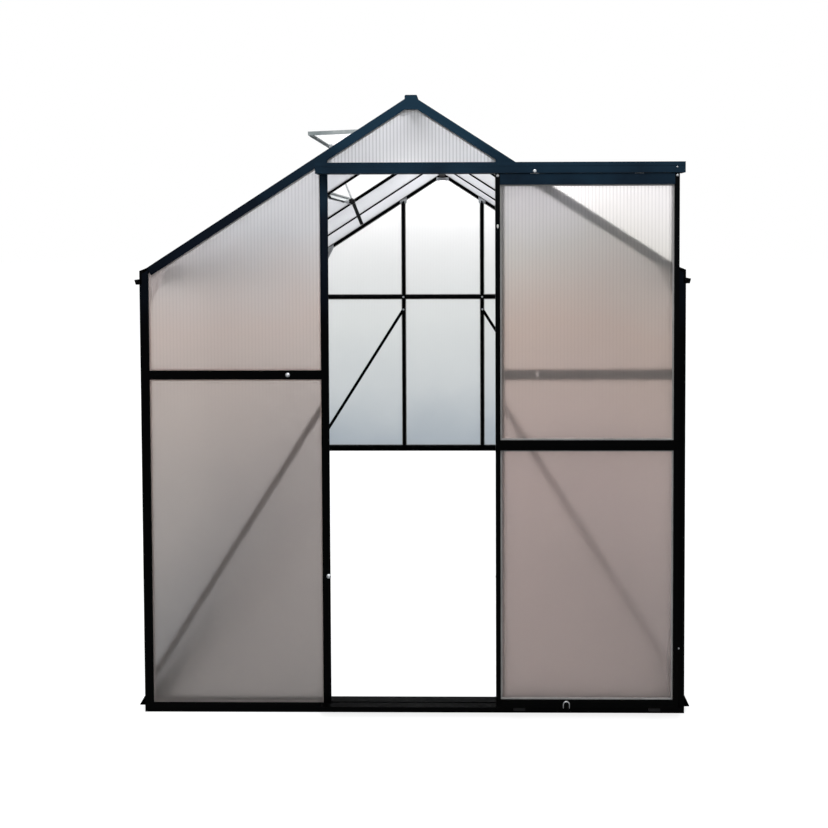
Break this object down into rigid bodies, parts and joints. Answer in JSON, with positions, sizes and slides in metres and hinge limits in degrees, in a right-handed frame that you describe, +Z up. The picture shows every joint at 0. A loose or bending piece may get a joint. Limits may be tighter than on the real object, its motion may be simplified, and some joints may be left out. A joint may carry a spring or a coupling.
{
  "type": "greenhouse",
  "caption": "Walk-in greenhouse with a dark aluminium frame, translucent twin-wall panels, a top-hung sliding door and a hinged roof vent on a stay.",
  "frame": {"origin": "middle of the footprint, on the ground, with the door track counted in", "axes": "+X to the right seen from the door side, +Y from the door gable to the back, +Z up"},
  "size_m": [1.935, 2.538, 2.1737],
  "materials": {
    "painted_frame": "fine matt powder coat",
    "twin_wall_panel": "translucent twin-wall sheet with upright flutes",
    "black_plastic": "moulded black plastic",
    "zinc_steel": "zinc plated",
    "bare_aluminium": "mill finish, weathered",
    "nylon": "turned nylon"
  },
  "bodies": {
    "frame": {"front_sill": "painted_frame", "back_sill": "painted_frame", "left_sill": "painted_frame", "right_sill": "painted_frame", "left_gutter": "painted_frame", "right_gutter": "painted_frame", "front_corner_posts": "painted_frame", "back_corner_posts": "painted_frame", "door_posts": "painted_frame", "back_posts": "painted_frame", "left_wall_bars": "painted_frame", "right_wall_bars": "painted_frame", "front_rafters": "painted_frame", "back_rafters": "painted_frame", "left_roof_bars": "painted_frame", "right_roof_bars": "painted_frame", "ridge_bar": "painted_frame", "front_rails": "painted_frame", "back_rails": "painted_frame", "door_header": "painted_frame", "vent_sill": "painted_frame", "door_track": "painted_frame", "track_support": "painted_frame", "bottom_track": "painted_frame", "braces": "painted_frame", "front_lower_panels": "twin_wall_panel", "front_upper_panels": "twin_wall_panel", "front_gable_panel": "twin_wall_panel", "back_lower_panels": "twin_wall_panel", "back_upper_panels": "twin_wall_panel", "left_wall_panels": "twin_wall_panel", "right_wall_panels": "twin_wall_panel", "left_roof_panels": "twin_wall_panel", "right_roof_panels": "twin_wall_panel", "ridge_end_caps": "black_plastic", "track_end_caps": "black_plastic", "track_stops": "black_plastic", "front_plates": "zinc_steel", "back_plates": "zinc_steel", "stay_bracket": "zinc_steel"},
    "door": {"door_left_stile": "painted_frame", "door_right_stile": "painted_frame", "door_top_rail": "painted_frame", "door_middle_rail": "painted_frame", "door_bottom_rail": "painted_frame", "door_upper_panel": "twin_wall_panel", "door_lower_panel": "twin_wall_panel", "door_hangers": "zinc_steel", "door_guides": "black_plastic"},
    "left_roller": {"left_roller": "nylon"},
    "right_roller": {"right_roller": "nylon"},
    "vent": {"vent_hinge_rail": "bare_aluminium", "vent_bottom_rail": "bare_aluminium", "vent_side_rails": "bare_aluminium", "vent_panel": "twin_wall_panel", "vent_eye_bracket": "zinc_steel"},
    "stay": {"stay_rod": "zinc_steel", "stay_grip": "black_plastic"},
    "swivel": {"stay_swivel": "black_plastic"},
    "knob": {"stay_knob": "black_plastic"}
  },
  "joints": [
    {"name": "door_slide", "type": "slide", "parent": "frame", "child": "door", "axis": [1, 0, 0], "range_m": [-0.602, 0]},
    {"name": "left_roller_spin", "type": "hinge", "parent": "door", "child": "left_roller", "pos_m": [0.424, -1.2415, 1.9063], "axis": [0, 1, 0], "range_deg": [-2875.34, 0]},
    {"name": "right_roller_spin", "type": "hinge", "parent": "door", "child": "right_roller", "pos_m": [0.78, -1.2415, 1.9063], "axis": [0, 1, 0], "range_deg": [-2875.34, 0]},
    {"name": "vent_hinge", "type": "hinge", "parent": "frame", "child": "vent", "pos_m": [-0.0175, -0.28925, 2.15803], "axis": [0, 1, 0], "range_deg": [-30.5, 0]},
    {"name": "stay_swing", "type": "hinge", "parent": "vent", "child": "stay", "pos_m": [-0.49973, -0.28925, 2.12914], "axis": [0, 1, 0], "range_deg": [0, 15.25]},
    {"name": "stay_swivel_turn", "type": "hinge", "parent": "frame", "child": "swivel", "pos_m": [-0.39026, -0.28925, 1.85074], "axis": [0, 1, 0], "range_deg": [-15.25, 0]},
    {"name": "stay_knob_turn", "type": "hinge", "parent": "swivel", "child": "knob", "pos_m": [-0.39026, -0.28925, 1.85074], "axis": [0, 1, 0], "range_deg": [0, 270]}
  ],
  "couplings": [
    {"joint": "left_roller_spin", "follows": "door_slide", "rad_per_m": 83.333},
    {"joint": "right_roller_spin", "follows": "door_slide", "rad_per_m": 83.333},
    {"joint": "stay_swing", "follows": "vent_hinge", "ratio": -0.5},
    {"joint": "stay_swivel_turn", "follows": "vent_hinge", "ratio": 0.5}
  ]
}
